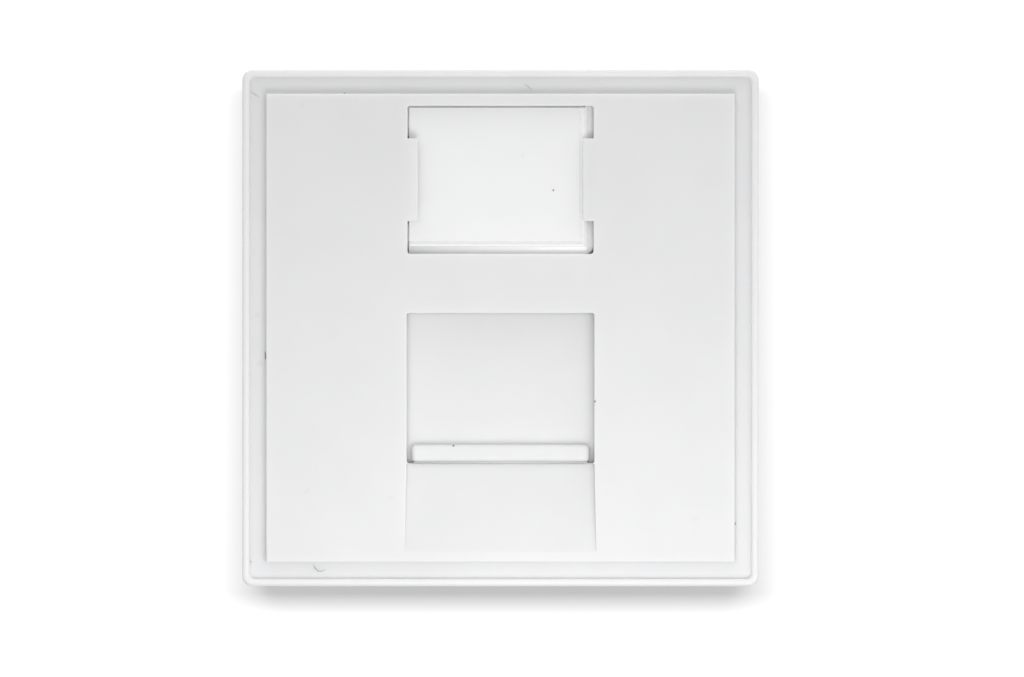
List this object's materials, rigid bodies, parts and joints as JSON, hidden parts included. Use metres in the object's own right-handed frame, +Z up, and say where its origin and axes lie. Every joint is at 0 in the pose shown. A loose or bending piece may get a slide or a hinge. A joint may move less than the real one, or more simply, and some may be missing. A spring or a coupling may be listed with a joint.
{
  "type": "keystone faceplate",
  "caption": "Square snap-in faceplate for a keystone jack, with a sprung sliding dust shutter, a sloped finger recess and a covered label window.",
  "frame": {"origin": "centre of the plane where the face's flange bears on its support frame", "axes": "upright as fitted: the face looks along -Y, +Z is up, +X is to the right seen from the front"},
  "size_m": [0.045, 0.0132, 0.045],
  "materials": {
    "front_plate": "fine satin white ABS",
    "keystone_frame": "plain moulded white ABS",
    "shutter": "fine satin white ABS",
    "spring": "drawn spring wire",
    "label_cover": "clear polycarbonate",
    "label_card": "blank white card"
  },
  "bodies": {
    "housing": {"front_plate": "front_plate", "keystone_frame": "keystone_frame", "spring_left": "spring", "spring_right": "spring", "label_cover": "label_cover", "label_card": "label_card"},
    "shutter": {"shutter": "shutter"}
  },
  "joints": [
    {"name": "shutter_slide", "type": "slide", "parent": "housing", "child": "shutter", "axis": [0, 0, 1], "range_m": [0, 0.0114], "stiffness_N_per_m": 218, "springref_m": -0.003, "deforming": ["spring_left", "spring_right"]}
  ]
}
